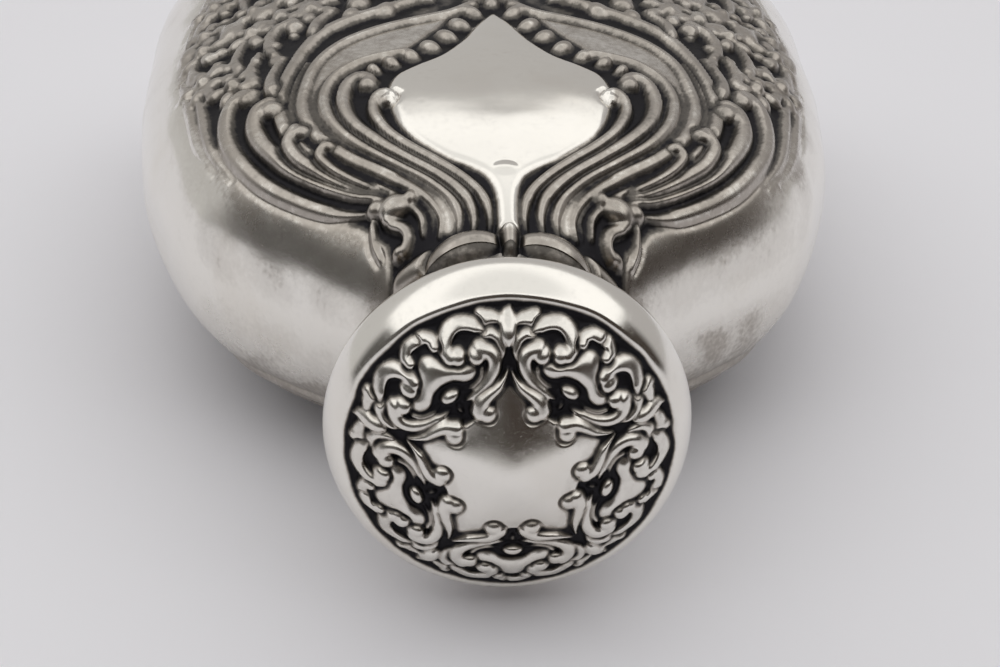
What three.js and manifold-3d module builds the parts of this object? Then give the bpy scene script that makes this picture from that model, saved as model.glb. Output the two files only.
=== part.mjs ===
// Hip flask in silver, lying on its back, cap toward -Y, front face up.
// All lengths in millimetres. S is the distance behind the widest plane of the cap
// along the neck axis; the whole flask is shifted so that its box is centred in Y.
import * as THREE from 'three';
import Module from 'manifold-3d';

// ---------- sizes ----------
const RIM_Y = -55.675;     // widest plane of the cap
const AXIS_Z = 21.1;       // height of the neck axis over the resting plane
const SHEET = 0.9;         // thickness of the body sheet
const NECK_S = 13.5;       // where the shells begin
const BASE_S = 121.75;     // where the shells end
const BASE_T = 1.0;        // base plate
const HALF_W = [[13.5, 12.9], [20, 20.8], [27, 29.2], [35, 36.0], [45, 40.0], [58, 43.0], [74, 44.2], [92, 44.4], [106, 43.0], [114, 41.2], [119, 38.8], [121.75, 36.2]];
const HALF_H = [[13.5, 12.9], [20, 15.4], [27, 17.6], [35, 19.6], [42, 20.8], [50, 21.4], [60, 21.5], [85, 21.4], [98, 20.6], [108, 18.6], [115, 16.0], [119, 13.8], [121.75, 11.8]];
const POWER = 2.35;        // fullness of the body section

const BORE_R = 8.8;        // inside of the neck tube
const TUBE_R = 10.4;       // outside of the neck tube
const COLLAR_IN = 10.8;
const COLLAR_OUT = 12.9;
const COLLAR_S = 8.5;      // front face of the collar
const FLANGE_R = 12.1;     // flange of the neck tube
const TUBE_S0 = -3.4;      // mouth end of the tube
const MOUTH_S0 = -4.3;     // lip of the mouth ring
const THREAD_PITCH = 2.5;
const MALE_IN = 10.7, MALE_ROOT = 11.3, MALE_CREST = 12.1;
const MALE_S0 = -3.0, MALE_S1 = 7.6;
const FEM_ROOT = 12.6, FEM_CREST = 11.7, FEM_OUT = 13.9;
const FEM_S0 = -6.4, FEM_S1 = 2.3;

const CAP_R = 19.0;
const CAP_TOP = -11.25;
const CAP_SHEET = 0.9;
const CAP_EDGE_S = 1.4;    // back edge of the cap dome
const FIELD_R = 16.3;      // the chased field of the cap ends here
const FIELD_DEPTH = 0.7;   // and lies this much under the plain border
const PLATE_T = 0.9;       // back plate of the cap
const PLATE_IN = 14.3;
const CORK_R = 11.0;

// ---------- small tools ----------
function pchip(table) {
  const n = table.length, x = table.map(p => p[0]), y = table.map(p => p[1]);
  const h = [], d = [], m = new Array(n).fill(0);
  for (let i = 0; i < n - 1; i++) { h.push(x[i + 1] - x[i]); d.push((y[i + 1] - y[i]) / h[i]); }
  for (let i = 1; i < n - 1; i++) {
    if (d[i - 1] * d[i] > 0) {
      const w1 = 2 * h[i] + h[i - 1], w2 = h[i] + 2 * h[i - 1];
      m[i] = (w1 + w2) / (w1 / d[i - 1] + w2 / d[i]);
    }
  }
  const end = (h0, h1, d0, d1) => {
    let v = ((2 * h0 + h1) * d0 - h0 * d1) / (h0 + h1);
    if (v * d0 <= 0) v = 0; else if (d0 * d1 <= 0 && Math.abs(v) > Math.abs(3 * d0)) v = 3 * d0;
    return v;
  };
  m[0] = end(h[0], h[1], d[0], d[1]);
  m[n - 1] = end(h[n - 2], h[n - 3], d[n - 2], d[n - 3]);
  return (q) => {
    if (q <= x[0]) return y[0];
    if (q >= x[n - 1]) return y[n - 1];
    let i = 0;
    while (q > x[i + 1]) i++;
    const t = (q - x[i]) / h[i], t2 = t * t, t3 = t2 * t;
    return (2 * t3 - 3 * t2 + 1) * y[i] + (t3 - 2 * t2 + t) * h[i] * m[i] + (-2 * t3 + 3 * t2) * y[i + 1] + (t3 - t2) * h[i] * m[i + 1];
  };
}
const smooth = (a, b, v) => { const t = Math.min(1, Math.max(0, (v - a) / (b - a))); return t * t * (3 - 2 * t); };
const halfW = pchip(HALF_W), halfH = pchip(HALF_H);
const powerAt = (s) => 2 + (POWER - 2) * smooth(NECK_S, 30, s);
const slope = (f, s) => (f(s + 0.25) - f(s - 0.25)) / 0.5;

// mesh data with points given as [x, s, z over the axis]
class Soup {
  constructor() { this.p = []; this.t = []; }
  add(x, s, z) { this.p.push(x, s + RIM_Y, z + AXIS_Z); return this.p.length / 3 - 1; }
  tri(a, b, c) { if (a !== b && b !== c && a !== c) this.t.push(a, b, c); }
  quad(a, b, c, d) { this.tri(a, b, c); this.tri(a, c, d); }
  volume() {
    let v = 0; const p = this.p;
    for (let i = 0; i < this.t.length; i += 3) {
      const [a, b, c] = [this.t[i] * 3, this.t[i + 1] * 3, this.t[i + 2] * 3];
      v += p[a] * (p[b + 1] * p[c + 2] - p[b + 2] * p[c + 1]) - p[a + 1] * (p[b] * p[c + 2] - p[b + 2] * p[c]) + p[a + 2] * (p[b] * p[c + 1] - p[b + 1] * p[c]);
    }
    return v / 6;
  }
  outward() {
    if (this.volume() < 0) for (let i = 0; i < this.t.length; i += 3) { const k = this.t[i + 1]; this.t[i + 1] = this.t[i + 2]; this.t[i + 2] = k; }
    return this;
  }
}

const wasm = await Module();
wasm.setup();
function solid(soup) {
  soup.outward();
  return new wasm.Manifold(new wasm.Mesh({ numProp: 3, vertProperties: new Float32Array(soup.p), triVerts: new Uint32Array(soup.t) }));
}
function geometryOf(man) {
  const m = man.getMesh();
  const g = new THREE.BufferGeometry();
  const n = m.vertProperties.length / m.numProp, pos = new Float32Array(n * 3);
  for (let i = 0; i < n; i++) for (let k = 0; k < 3; k++) pos[3 * i + k] = m.vertProperties[i * m.numProp + k];
  g.setAttribute('position', new THREE.BufferAttribute(pos, 3));
  g.setIndex(new THREE.BufferAttribute(new Uint32Array(m.triVerts), 1));
  g.computeVertexNormals();
  return g;
}

// body of revolution about the neck axis from a closed profile of [r, s] points;
// points with r = 0 share one vertex
function revolve(profile, segs) {
  const o = new Soup(), ring = [];
  for (const [r, s] of profile) {
    if (r < 1e-9) { const v = o.add(0, s, 0); ring.push(new Array(segs).fill(v)); continue; }
    const row = [];
    for (let i = 0; i < segs; i++) { const a = 2 * Math.PI * i / segs; row.push(o.add(r * Math.cos(a), s, r * Math.sin(a))); }
    ring.push(row);
  }
  const n = profile.length;
  for (let k = 0; k < n; k++) {
    const A = ring[k], B = ring[(k + 1) % n];
    if (profile[k][0] < 1e-9 && profile[(k + 1) % n][0] < 1e-9) continue;
    for (let i = 0; i < segs; i++) { const j = (i + 1) % segs; o.quad(A[i], B[i], B[j], A[j]); }
  }
  return solid(o);
}

// helical ridge, right-handed; the side toward +Y of s0 is where it begins
function helix(rBase, rCrest, s0, turns, baseW, crestW, perTurn) {
  const o = new Soup(), n = Math.round(turns * perTurn), rows = [];
  for (let i = 0; i <= n; i++) {
    const a = 2 * Math.PI * i / perTurn;
    // a positive turn about -Y moves toward -Y
    const s = s0 - THREAD_PITCH * i / perTurn;
    const fade = smooth(0, 5, i) * smooth(0, 5, n - i);
    const rc = rBase + (rCrest - rBase) * (0.25 + 0.75 * fade);
    const row = [];
    for (const [r, w] of [[rBase, -baseW / 2], [rBase, baseW / 2], [rc, crestW / 2], [rc, -crestW / 2]])
      row.push(o.add(r * Math.cos(a), s + w, r * Math.sin(a)));
    rows.push(row);
  }
  for (let i = 0; i < n; i++) for (let k = 0; k < 4; k++) { const j = (k + 1) % 4; o.quad(rows[i][k], rows[i][j], rows[i + 1][j], rows[i + 1][k]); }
  o.quad(rows[0][0], rows[0][3], rows[0][2], rows[0][1]);
  o.quad(rows[n][0], rows[n][1], rows[n][2], rows[n][3]);
  return solid(o);
}

// ---------- body ----------
function loft(sList, tList, at) {
  const o = new Soup(), rows = [];
  for (const s of sList) rows.push(tList.map(t => { const q = at(s, t); return o.add(q[0], s, q[1]); }));
  const n = tList.length;
  for (let k = 0; k < rows.length - 1; k++) for (let i = 0; i < n; i++) { const j = (i + 1) % n; o.quad(rows[k][i], rows[k][j], rows[k + 1][j], rows[k + 1][i]); }
  for (const [row, s] of [[rows[0], sList[0]], [rows[rows.length - 1], sList[sList.length - 1]]]) {
    const c = o.add(0, s, 0), first = row === rows[0];
    for (let i = 0; i < n; i++) { const j = (i + 1) % n; if (first) o.tri(c, row[j], row[i]); else o.tri(c, row[i], row[j]); }
  }
  return solid(o);
}
function section(w, h, n, t) {
  const c = Math.cos(t), q = Math.sin(t);
  return [w * Math.sign(c) * Math.abs(c) ** (2 / n) * (Math.abs(c) < 1e-9 ? 0 : 1), h * Math.sign(q) * Math.abs(q) ** (2 / n) * (Math.abs(q) < 1e-9 ? 0 : 1)];
}
const outerT = [], coarseT = [];
for (let i = 0; i < 28; i++) outerT.push(Math.PI * i / 28);
for (let i = 0; i < 24; i++) outerT.push(Math.PI + Math.PI * i / 24);
for (let i = 0; i < 36; i++) coarseT.push(2 * Math.PI * i / 36);
const outerS = [13.5, 16.5, 20, 24, 28, 32, 36.5, 41.5, 47, 53, 60, 68, 77, 86, 94, 101, 107, 112, 116, 119, 120.7, 121.75];
const innerS = [13.5, 17.5, 22, 27, 33, 40, 50, 64, 80, 94, 104, 112, 118, 121.75];
const pillow = (d) => loft(outerS, outerT, (s, t) => section(halfW(s) + d, halfH(s) + d, powerAt(s), t));
const innerSection = (s, t) => {
  const k = Math.sqrt(1 + slope(halfW, s) ** 2), m = Math.sqrt(1 + slope(halfH, s) ** 2);
  const w = Math.max(COLLAR_IN, halfW(s) - SHEET * Math.min(k, 2)), h = Math.max(COLLAR_IN, halfH(s) - SHEET * Math.min(m, 1.6));
  return section(s < 14 ? COLLAR_IN : w, s < 14 ? COLLAR_IN : h, powerAt(s), t);
};
const inner = loft([11, ...innerS, 124], coarseT, (s, t) => innerSection(Math.min(BASE_S, Math.max(NECK_S, s)), t));
const body = pillow(0).subtract(inner);

// raised work: flat outlines in [x, s] carried up through a skin that follows the pillow
function extruded(outline, low, high) {
  // low and high turn a point of the outline into the two ends of its straight edge
  const area = outline.reduce((v, p, i) => { const q = outline[(i + 1) % outline.length]; return v + p[0] * q[1] - p[1] * q[0]; }, 0);
  const ring = area < 0 ? [...outline].reverse() : outline;
  const o = new Soup(), lo = ring.map(p => o.add(...low(p))), hi = ring.map(p => o.add(...high(p)));
  for (const [a, b, c] of THREE.ShapeUtils.triangulateShape(ring.map(p => new THREE.Vector2(p[0], p[1])), [])) { o.tri(lo[a], lo[c], lo[b]); o.tri(hi[a], hi[b], hi[c]); }
  const n = ring.length;
  for (let i = 0; i < n; i++) { const j = (i + 1) % n; o.quad(lo[i], lo[j], hi[j], hi[i]); }
  return solid(o);
}
const prism = (outline, z0, z1) => extruded(outline, p => [p[0], p[1], z0], p => [p[0], p[1], z1]);
function smoothLine(points, n) {
  const c = new THREE.CatmullRomCurve3(points.map(p => new THREE.Vector3(p[0], p[1], 0)), false, 'centripetal');
  return c.getPoints(n).map(v => [v.x, v.y]);
}
function band(points, wide0, wide1, n) {
  const line = smoothLine(points, n), left = [], right = [];
  for (let i = 0; i <= n; i++) {
    const a = line[Math.max(0, i - 1)], b = line[Math.min(n, i + 1)], l = Math.hypot(b[0] - a[0], b[1] - a[1]);
    const u = i / n, half = 0.5 * (wide0 + (wide1 - wide0) * u) * (0.45 + 0.55 * smooth(0, 0.12, u) * (1 - 0.3 * smooth(0.85, 1, u)));
    left.push([line[i][0] - (b[1] - a[1]) / l * half, line[i][1] + (b[0] - a[0]) / l * half]);
    right.push([line[i][0] + (b[1] - a[1]) / l * half, line[i][1] - (b[0] - a[0]) / l * half]);
  }
  return [...left, ...right.reverse()];
}
const mirrored = (outline) => outline.map(p => [-p[0], p[1]]).reverse();
const SHIELD = [[0, 59.5], [1.4, 57.5], [2.9, 55], [4.0, 52], [5.6, 49.6], [8.3, 47.2], [11.2, 45.2], [12.6, 43], [12.9, 40.5], [12.2, 36], [10.4, 32], [8.0, 29], [5.2, 26.3], [3.2, 25], [1.2, 24.3]];
const skin = (d) => pillow(d).subtract(pillow(-0.35));
const thin = skin(0.35), thick = skin(0.6);
const BANDS = [
  [[[6.6, 18.5], [6.9, 22], [9.4, 26], [13, 29.8], [15.8, 33.8], [17.2, 38], [16.9, 41.6], [15.2, 43.2], [13.9, 42]], 1.2, 1.7, 15],
  [[[8.4, 18.5], [10.6, 22], [14.2, 26], [18.2, 31], [20.6, 36], [21.1, 41], [19.4, 46], [15.6, 49.8], [11, 53.2], [6.6, 57.6], [3.2, 62]], 1.3, 2.4, 16],
  [[[12, 22.3], [16, 24], [20, 27], [23.2, 30], [25.8, 33.6], [27.9, 37.2], [28.9, 40.2], [28.2, 42.8], [26.7, 42.4]], 1.3, 1.9, 14],
  [[[24.9, 44], [23.4, 50], [22.4, 56], [20.6, 62], [16.2, 68], [10, 72.5], [4, 76]], 1.6, 2.2, 12],
  [[[30, 48], [29.2, 55], [27.4, 62], [25, 68.5], [27, 74], [31, 76.5]], 2.0, 2.6, 10],
];
let work = prism([...SHIELD, ...mirrored(SHIELD.slice(1)).slice(0)], 4, 40).intersect(thin);
for (const [pts, w0, w1, n] of BANDS) {
  const outline = band(pts, w0, w1, n);
  work = work.add(prism(outline, 4, 40).intersect(thick)).add(prism(mirrored(outline), 4, 40).intersect(thick));
}
const frontShell = body.trimByPlane([0, 0, 1], AXIS_Z).add(work);
const backShell = body.trimByPlane([0, 0, -1], -AXIS_Z).trimByPlane([0, 0, 1], 0);

const plateSection = (d) => (s, t) => section(halfW(BASE_S) - d, halfH(BASE_S) - d, POWER, t);
function basePlate() {
  const o = new Soup(), rows = [], segs = 56;
  const steps = [[0.15, BASE_S], [0.0, BASE_S + 0.35], [0.25, BASE_S + 0.85], [0.8, BASE_S + BASE_T]];
  for (const [d, s] of steps) {
    const row = [];
    for (let i = 0; i < segs; i++) { const q = plateSection(d)(s, 2 * Math.PI * i / segs); row.push(o.add(q[0], s, q[1])); }
    rows.push(row);
  }
  for (let k = 0; k < rows.length - 1; k++) for (let i = 0; i < segs; i++) { const j = (i + 1) % segs; o.quad(rows[k][i], rows[k][j], rows[k + 1][j], rows[k + 1][i]); }
  const a = o.add(0, BASE_S, 0), b = o.add(0, BASE_S + BASE_T, 0);
  for (let i = 0; i < segs; i++) { const j = (i + 1) % segs; o.tri(a, rows[0][j], rows[0][i]); o.tri(b, rows[3][i], rows[3][j]); }
  return solid(o);
}

// ---------- neck ----------
const neckCollar = revolve([[COLLAR_IN, COLLAR_S], [12.3, COLLAR_S], [12.75, COLLAR_S + 0.6], [12.7, COLLAR_S + 1.4], [12.1, COLLAR_S + 2.2], [12.2, COLLAR_S + 3.6], [COLLAR_OUT, NECK_S], [COLLAR_IN, NECK_S]], 40);
const neckTube = revolve([[BORE_R, TUBE_S0], [TUBE_R, TUBE_S0], [TUBE_R, MALE_S1], [FLANGE_R, MALE_S1], [FLANGE_R, COLLAR_S], [TUBE_R, COLLAR_S], [TUBE_R, 15.6], [BORE_R, 15.6]], 40);
const mouthRing = revolve([[BORE_R, TUBE_S0], [BORE_R, MOUTH_S0 + 0.3], [BORE_R + 0.25, MOUTH_S0], [TUBE_R - 0.15, MOUTH_S0], [TUBE_R + 0.2, MOUTH_S0 + 0.3], [TUBE_R + 0.2, TUBE_S0 - 0.15], [TUBE_R, TUBE_S0]], 40);
const maleSleeve = revolve([[MALE_IN, MALE_S0], [MALE_ROOT - 0.2, MALE_S0], [MALE_ROOT, MALE_S0 + 0.2], [MALE_ROOT, 4.6], [MALE_ROOT + 0.5, 5.2], [MALE_ROOT, 5.8], [MALE_ROOT, MALE_S1], [MALE_IN, MALE_S1]], 32);
const maleRidge = helix(MALE_ROOT - 0.25, MALE_CREST, 2.4, 2, 1.6, 0.6, 32);
const neckThread = maleSleeve.add(maleRidge);

// ---------- cap ----------
function capProfile(r) {
  // outer surface of the crown as s over the radius
  return CAP_TOP + 2.9 * (r / 16.0) ** 2 + 1.75 * (r / 16.0) ** 8;
}
const CAP_SEGS = 50;
function crown(lift, rMax) {
  // solid of revolution under the crown surface raised by lift
  const prof = [[0, capProfile(0) - lift]];
  for (const r of [3.5, 6.5, 9, 11, 13, 14.6, rMax]) prof.push([r, capProfile(r) - lift]);
  prof.push([rMax, -3], [0, -3]);
  return revolve(prof, CAP_SEGS);
}
function capDome() {
  const prof = [[0, capProfile(0) + FIELD_DEPTH]];
  for (const r of [3.5, 6.5, 9, 11, 13, 14.6, 15.7]) prof.push([r, capProfile(r) + FIELD_DEPTH]);
  prof.push([FIELD_R, -6.35], [16.9, -6.95], [17.7, -6.1], [18.4, -4.6], [18.85, -2.8], [CAP_R, -1.2], [CAP_R, 0.2], [18.85, 0.9], [18.6, CAP_EDGE_S]);
  prof.push([17.7, CAP_EDGE_S], [17.95, -0.4], [17.75, -2.8], [17.0, -4.6], [15.2, -5.75], [12.6, -7.2], [9.0, -8.6], [4.5, -9.4], [0, -9.6]);
  let man = revolve(prof, CAP_SEGS);
  const shell = crown(0.15, 15.9).subtract(crown(-FIELD_DEPTH - 0.35, 15.5));
  const low = crown(-0.2, 15.9).subtract(crown(-FIELD_DEPTH - 0.35, 15.5));
  // outlines in [x, z] about the axis, carried through along the axis
  const raise = (outline, skinOf) => extruded(outline, p => [p[0], -14, p[1]], p => [p[0], -4, p[1]]).intersect(skinOf);
  const polar = (r, a) => [r * Math.cos(a), r * Math.sin(a)];
  const star = [];
  for (let k = 0; k < 5; k++) {
    const a0 = Math.PI / 2 + k * 2 * Math.PI / 5;
    for (const [f, r] of [[0, 10.9], [0.12, 9.4], [0.3, 8.0], [0.5, 7.5], [0.7, 8.0], [0.88, 9.4]]) star.push(polar(r, a0 + f * 2 * Math.PI / 5));
  }
  man = man.add(raise(star, shell));
  for (let k = 0; k < 5; k++) {
    const am = Math.PI / 2 + (k + 0.5) * 2 * Math.PI / 5, av = Math.PI / 2 + k * 2 * Math.PI / 5;
    const panel = [];
    for (const [da, r] of [[-0.32, 11.6], [-0.2, 11.0], [0, 11.4], [0.2, 11.0], [0.32, 11.6], [0.27, 12.7], [0.12, 13.4], [0, 13.9], [-0.12, 13.4], [-0.27, 12.7]]) panel.push(polar(r, am + da));
    man = man.add(raise(panel, low));
    const pearl = [];
    for (let i = 0; i < 8; i++) { const q = polar(9.5, am); pearl.push([q[0] + 0.8 * Math.cos(i * Math.PI / 4), q[1] + 0.8 * Math.sin(i * Math.PI / 4)]); }
    man = man.add(raise(pearl, shell));
    for (const side of [-1, 1]) {
      // the large curl beside each bud
      const c = polar(13.6, am + side * 0.38), pts = [];
      for (let i = 0; i <= 5; i++) { const t = am + side * (-0.9 + 4.1 * i / 5); pts.push([c[0] + 1.55 * Math.cos(t), c[1] + 1.55 * Math.sin(t)]); }
      man = man.add(raise(band(pts, 1.1, 1.1, 6), shell));
    }
    const b = polar(14.9, av), bud = [];
    for (const [f, g] of [[-1.0, 0], [-0.3, 0.65], [0.4, 0.6], [0.95, 0], [0.4, -0.6], [-0.3, -0.65]]) bud.push([b[0] + f * Math.cos(av) - g * Math.sin(av), b[1] + f * Math.sin(av) + g * Math.cos(av)]);
    man = man.add(raise(bud, shell));
  }
  return man;
}
const capPlate = revolve([[PLATE_IN, CAP_EDGE_S], [18.7, CAP_EDGE_S], [18.85, CAP_EDGE_S + 0.3], [18.4, CAP_EDGE_S + PLATE_T], [PLATE_IN, CAP_EDGE_S + PLATE_T]], CAP_SEGS);
const femSleeve = revolve([[FEM_ROOT, FEM_S0], [FEM_OUT, FEM_S0], [FEM_OUT, FEM_S1], [15.4, FEM_S1], [15.4, FEM_S1 + 0.4], [15.2, FEM_S1 + 0.6], [FEM_ROOT + 0.2, FEM_S1 + 0.6], [FEM_ROOT, FEM_S1 + 0.4]], 32);
const femRidge = helix(FEM_ROOT + 0.25, FEM_CREST, 2.4 - THREAD_PITCH / 2, 1.9, 1.6, 0.6, 32);
const capThread = femSleeve.add(femRidge);
const sealPlate = revolve([[0, -7.5], [CORK_R - 0.2, -7.5], [CORK_R, -7.3], [CORK_R, -6.9], [0, -6.9]], 36);
const corkDisc = revolve([[0, -6.9], [CORK_R, -6.9], [CORK_R + 0.15, -5.6], [CORK_R, MOUTH_S0], [0, MOUTH_S0]], 36);

// ---------- the group ----------
const group = new THREE.Group();
group.name = 'hip_flask';
function put(name, man, colour, roughness, metalness) {
  const mesh = new THREE.Mesh(geometryOf(man), new THREE.MeshStandardMaterial({ color: colour, roughness, metalness }));
  mesh.name = name;
  group.add(mesh);
}
put('front_shell', frontShell, 0xb9b5ae, 0.24, 1.0);
put('back_shell', backShell, 0xb5b1aa, 0.26, 1.0);
put('base_plate', basePlate(), 0xb2aea8, 0.28, 1.0);
put('neck_collar', neckCollar, 0xbab6af, 0.22, 1.0);
put('neck_tube', neckTube, 0xc9a85a, 0.28, 1.0);
put('neck_thread', neckThread, 0xb8b2a6, 0.3, 1.0);
put('mouth_ring', mouthRing, 0xcdae62, 0.22, 1.0);
put('cap_dome', capDome(), 0xc2beb6, 0.18, 1.0);
put('cap_back_plate', capPlate, 0xbcb8b0, 0.24, 1.0);
put('cap_thread', capThread, 0xc9a85a, 0.3, 1.0);
put('seal_plate', sealPlate, 0xc9a85a, 0.3, 1.0);
put('cork_disc', corkDisc, 0xb58a5c, 0.9, 0.0);
export default group;
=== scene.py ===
import math
import bpy
import numpy as np
from mathutils import Matrix, Vector


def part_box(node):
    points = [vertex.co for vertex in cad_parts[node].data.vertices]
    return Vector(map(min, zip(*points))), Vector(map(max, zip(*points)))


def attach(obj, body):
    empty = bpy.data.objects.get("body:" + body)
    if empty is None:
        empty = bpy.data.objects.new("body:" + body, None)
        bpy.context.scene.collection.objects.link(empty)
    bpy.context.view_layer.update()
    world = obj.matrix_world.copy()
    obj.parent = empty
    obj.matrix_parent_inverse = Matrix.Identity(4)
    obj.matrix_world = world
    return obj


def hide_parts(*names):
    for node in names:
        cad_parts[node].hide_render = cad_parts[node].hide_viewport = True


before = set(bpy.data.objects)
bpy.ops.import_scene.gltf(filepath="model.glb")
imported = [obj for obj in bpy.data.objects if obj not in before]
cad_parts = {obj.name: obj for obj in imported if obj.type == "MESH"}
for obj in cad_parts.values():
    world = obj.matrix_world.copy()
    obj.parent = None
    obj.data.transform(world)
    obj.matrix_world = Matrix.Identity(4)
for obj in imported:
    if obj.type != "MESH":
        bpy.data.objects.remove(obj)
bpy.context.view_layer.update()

MM = 0.001

# ---------------------------------------------------------------- the shared frame
# s runs along the neck axis from the widest plane of the cap towards the far end, z from the axis towards the front.
plate_lo, plate_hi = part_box("cap_back_plate")
collar_lo, collar_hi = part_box("neck_collar")
RIM = plate_lo[1] / MM - 1.4
AX = (collar_lo[2] + collar_hi[2]) / 2 / MM


def place(p):
    q = np.empty_like(p)
    q[..., 0] = p[..., 0]
    q[..., 1] = p[..., 1] + RIM
    q[..., 2] = p[..., 2] + AX
    return q * MM


def smooth(a, b, x):
    t = np.clip((x - a) / (b - a), 0, 1)
    return t * t * (3 - 2 * t)


# ---------------------------------------------------------------- value noise, seeded
def lattice(seed, shape):
    return np.random.default_rng(seed).random(shape)


def noise2(x, y, cell, seed):
    n = 256
    g = lattice(seed, (n, n))
    u, v = x / cell, y / cell
    i, j = np.floor(u).astype(int), np.floor(v).astype(int)
    fu, fv = u - i, v - j
    fu, fv = fu * fu * (3 - 2 * fu), fv * fv * (3 - 2 * fv)
    i0, i1, j0, j1 = i % n, (i + 1) % n, j % n, (j + 1) % n
    return (g[i0, j0] * (1 - fu) + g[i1, j0] * fu) * (1 - fv) + (g[i0, j1] * (1 - fu) + g[i1, j1] * fu) * fv


# ---------------------------------------------------------------- curves and relief fields
def spline(points, step=0.12):
    p = np.array(points, float)
    if len(p) == 2:
        n = max(2, int(np.hypot(*(p[1] - p[0])) / step))
        t = np.linspace(0, 1, n)[:, None]
        return p[0] * (1 - t) + p[1] * t
    q = np.vstack([2 * p[0] - p[1], p, 2 * p[-1] - p[-2]])
    out = []
    for k in range(1, len(q) - 2):
        n = max(2, int(np.hypot(*(q[k + 1] - q[k])) / step))
        t = np.linspace(0, 1, n, endpoint=False)[:, None]
        a, b, c, d = q[k - 1], q[k], q[k + 1], q[k + 2]
        out.append(0.5 * (2 * b + (c - a) * t + (2 * a - 5 * b + 4 * c - d) * t ** 2 + (3 * b - a - 3 * c + d) * t ** 3))
    out.append(p[-1:])
    return np.vstack(out)


class Field:
    """A height map in millimetres over a plane."""

    def __init__(self, x0, x1, y0, y1, step):
        self.x0, self.y0, self.step = x0, y0, step
        self.nx, self.ny = int((x1 - x0) / step) + 1, int((y1 - y0) / step) + 1
        self.x = x0 + step * np.arange(self.nx)
        self.y = y0 + step * np.arange(self.ny)
        self.X, self.Y = np.meshgrid(self.x, self.y, indexing="ij")
        self.h = np.zeros((self.nx, self.ny))

    def window(self, x, y, r):
        i0, i1 = max(0, int((x - r - self.x0) / self.step)), min(self.nx, int((x + r - self.x0) / self.step) + 2)
        j0, j1 = max(0, int((y - r - self.y0) / self.step)), min(self.ny, int((y + r - self.y0) / self.step) + 2)
        return slice(i0, i1), slice(j0, j1)

    def bump(self, x, y, rx, ry, top, base, turn=0.0, power=0.5):
        w = self.window(x, y, max(rx, ry))
        X, Y = self.X[w] - x, self.Y[w] - y
        if X.size == 0:
            return
        c, s = math.cos(turn), math.sin(turn)
        q = ((X * c + Y * s) / rx) ** 2 + ((Y * c - X * s) / ry) ** 2
        z = np.where(q < 1, base + (top - base) * np.maximum(0, 1 - q) ** power, -9)
        self.h[w] = np.maximum(self.h[w], z)

    def stroke(self, points, w0, w1, top0, top1, base, ball=None, tail=0.18, power=0.5, moat=0.0, crest=0.0):
        p = spline(points, 0.5 * self.step + 0.05)
        seg = np.hypot(*np.diff(p, axis=0).T)
        t = np.concatenate([[0], np.cumsum(seg)]) / max(seg.sum(), 1e-6)
        if moat:
            for (x, y), k in list(zip(p, t))[::2] + ([((ball[0], ball[1]), None)] if ball else []):
                grow = 1.0 if k is None or tail <= 0 else 0.35 + 0.65 * min(1.0, k / tail)
                r = (ball[2] if k is None else (w0 + (w1 - w0) * k) * grow / 2) + moat * grow
                w = self.window(x, y, r)
                q = ((self.X[w] - x) ** 2 + (self.Y[w] - y) ** 2) / (r * r)
                self.h[w] = np.where(q < 1, np.minimum(self.h[w], base + 0.9 * q ** 3), self.h[w])
        for (x, y), k in zip(p, t):
            grow = 0.35 + 0.65 * min(1.0, k / tail) if tail > 0 else 1.0
            w = (w0 + (w1 - w0) * k) * grow / 2
            self.bump(x, y, w, w, base + (top0 + (top1 - top0) * k - base) * (0.55 + 0.45 * grow), base, power=power)
        if ball:
            self.bump(ball[0], ball[1], ball[2], ball[2], top1 + 0.06, base, power=max(0.5, 0.8 * power))
        if crest:
            # a fine raised line along one side of the scroll
            g = np.gradient(p, axis=0)
            g /= np.maximum(np.hypot(g[:, 0], g[:, 1])[:, None], 1e-6)
            off = np.stack([-g[:, 1], g[:, 0]], 1) * crest
            for (x, y), (ox, oy), k in list(zip(p, off, t))[len(p) // 6 :]:
                w = w0 + (w1 - w0) * k
                top = base + (top0 + (top1 - top0) * k - base) * 0.98 + 0.1
                self.bump(x + ox * w * 0.27, y + oy * w * 0.27, 0.2, 0.2, top, base + 0.6 * (top - base), power=0.7)

    def inside(self, outline):
        """Signed distance to a closed outline, positive inside, within its window."""
        p = np.array(outline, float)
        c = (p.min(0) + p.max(0)) / 2
        r = (p.max(0) - p.min(0)).max() / 2 + 2
        w = self.window(c[0], c[1], r)
        X, Y = self.X[w], self.Y[w]
        d = np.full(X.shape, 1e9)
        odd = np.zeros(X.shape, bool)
        for a, b in zip(p, np.roll(p, -1, 0)):
            e = b - a
            L = e @ e
            if L < 1e-12:
                continue
            t = np.clip(((X - a[0]) * e[0] + (Y - a[1]) * e[1]) / L, 0, 1)
            d = np.minimum(d, (X - a[0] - t * e[0]) ** 2 + (Y - a[1] - t * e[1]) ** 2)
            if a[1] != b[1]:
                odd ^= ((a[1] > Y) != (b[1] > Y)) & (X < (b[0] - a[0]) * (Y - a[1]) / (b[1] - a[1]) + a[0])
        return w, np.where(odd, 1, -1) * np.sqrt(d)

    def at(self, x, y, h=None):
        h = self.h if h is None else h
        u = np.clip((x - self.x0) / self.step, 0, self.nx - 1.001)
        v = np.clip((y - self.y0) / self.step, 0, self.ny - 1.001)
        i, j = u.astype(int), v.astype(int)
        fu, fv = u - i, v - j
        return (h[i, j] * (1 - fu) + h[i + 1, j] * fu) * (1 - fv) + (h[i, j + 1] * (1 - fu) + h[i + 1, j + 1] * fu) * fv


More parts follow.
